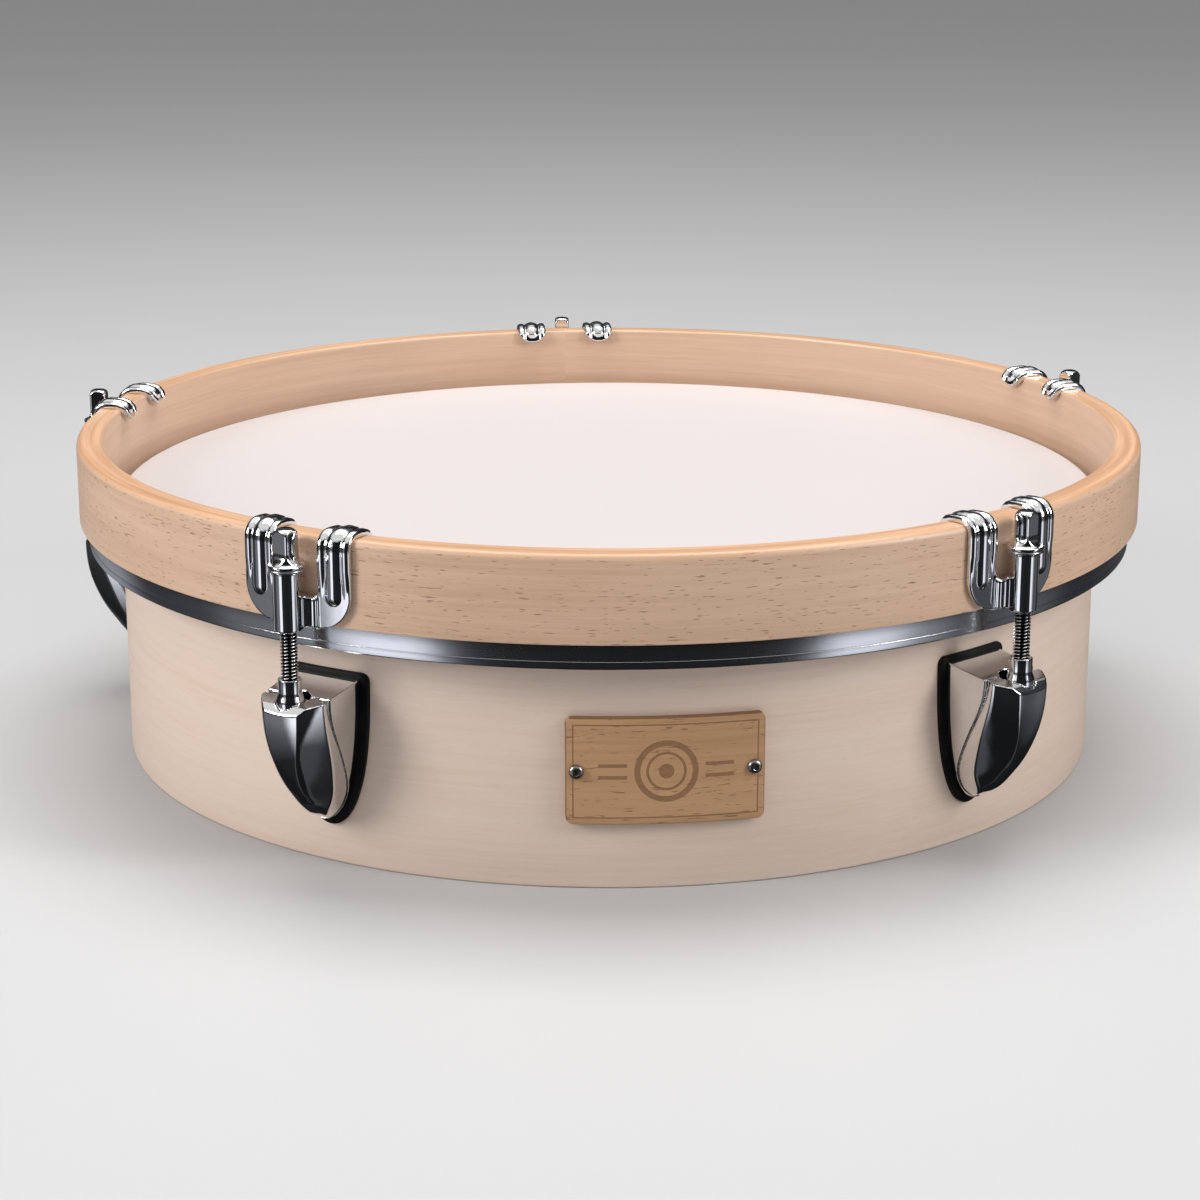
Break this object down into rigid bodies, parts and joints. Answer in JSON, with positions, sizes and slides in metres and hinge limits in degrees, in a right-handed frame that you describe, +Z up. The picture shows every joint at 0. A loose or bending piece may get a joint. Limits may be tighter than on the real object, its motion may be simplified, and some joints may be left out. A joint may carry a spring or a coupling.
{
  "type": "bass drum",
  "caption": "Shallow single-headed bass drum: ply shell open below, white film head, beech counterhoop held down by chrome claws and threaded key rods in teardrop lugs.",
  "frame": {"origin": "on the drum's axis, in the plane of the shell's bottom rim that it stands on", "axes": "+Z up along the drum's axis, out of the open bottom towards the head; the badge faces -Y; +X completes a right-handed frame"},
  "size_m": [0.4484, 0.4522, 0.1336],
  "materials": {
    "maple_ply": "satin lacquer over pale maple ply",
    "beech_hoop": "satin lacquer over steamed beech ply",
    "badge_wood": "satin lacquered beech",
    "white_film": "smooth matt white polyester film",
    "brushed_aluminium": "fine brushed, satin",
    "polished_chrome": "polished",
    "rod_chrome": "polished, threaded",
    "zinc_steel": "bright zinc plate",
    "dark_steel": "black oxide, slightly worn",
    "black_rubber": "matt",
    "nylon": "natural nylon",
    "cast_resin": "cast resin"
  },
  "bodies": {
    "shell_body": {"shell": "maple_ply", "lug_1": "polished_chrome", "lug_2": "polished_chrome", "lug_3": "polished_chrome", "lug_4": "polished_chrome", "lug_5": "polished_chrome", "lug_gasket_1": "black_rubber", "lug_gasket_2": "black_rubber", "lug_gasket_3": "black_rubber", "lug_gasket_4": "black_rubber", "lug_gasket_5": "black_rubber", "swivel_nut_1": "polished_chrome", "swivel_nut_2": "polished_chrome", "swivel_nut_3": "polished_chrome", "swivel_nut_4": "polished_chrome", "swivel_nut_5": "polished_chrome", "nut_retainers": "nylon", "lug_screws": "zinc_steel", "lug_screw_washers": "zinc_steel", "badge": "badge_wood", "badge_screws": "dark_steel", "badge_nuts": "zinc_steel"},
    "hoop_body": {"counterhoop": "beech_hoop", "drumhead_film": "white_film", "flesh_hoop": "brushed_aluminium", "flesh_hoop_resin": "cast_resin", "claw_1": "polished_chrome", "claw_2": "polished_chrome", "claw_3": "polished_chrome", "claw_4": "polished_chrome", "claw_5": "polished_chrome", "rod_washers": "zinc_steel"},
    "rod_1": {"tension_rod_1": "rod_chrome"},
    "rod_2": {"tension_rod_2": "rod_chrome"},
    "rod_3": {"tension_rod_3": "rod_chrome"},
    "rod_4": {"tension_rod_4": "rod_chrome"},
    "rod_5": {"tension_rod_5": "rod_chrome"}
  },
  "joints": [
    {"name": "hoop_travel", "type": "slide", "parent": "shell_body", "child": "hoop_body", "axis": [0, 0, 1], "range_m": [0, 0.01]},
    {"name": "rod_1_turn", "type": "hinge", "parent": "hoop_body", "child": "rod_1", "pos_m": [-0.1329, -0.18292, 0.1], "axis": [0, 0, 1], "range_deg": [-5, 2845]},
    {"name": "rod_2_turn", "type": "hinge", "parent": "hoop_body", "child": "rod_2", "pos_m": [0.1329, -0.18292, 0.1], "axis": [0, 0, 1], "range_deg": [-5, 2845]},
    {"name": "rod_3_turn", "type": "hinge", "parent": "hoop_body", "child": "rod_3", "pos_m": [0.21503, 0.06987, 0.1], "axis": [0, 0, 1], "range_deg": [-5, 2845]},
    {"name": "rod_4_turn", "type": "hinge", "parent": "hoop_body", "child": "rod_4", "pos_m": [0, 0.2261, 0.1], "axis": [0, 0, 1], "range_deg": [-5, 2845]},
    {"name": "rod_5_turn", "type": "hinge", "parent": "hoop_body", "child": "rod_5", "pos_m": [-0.21503, 0.06987, 0.1], "axis": [0, 0, 1], "range_deg": [-5, 2845]}
  ],
  "couplings": [
    {"joint": "rod_1_turn", "follows": "hoop_travel", "rad_per_m": 4947.4},
    {"joint": "rod_2_turn", "follows": "hoop_travel", "rad_per_m": 4947.4},
    {"joint": "rod_3_turn", "follows": "hoop_travel", "rad_per_m": 4947.4},
    {"joint": "rod_4_turn", "follows": "hoop_travel", "rad_per_m": 4947.4},
    {"joint": "rod_5_turn", "follows": "hoop_travel", "rad_per_m": 4947.4}
  ]
}
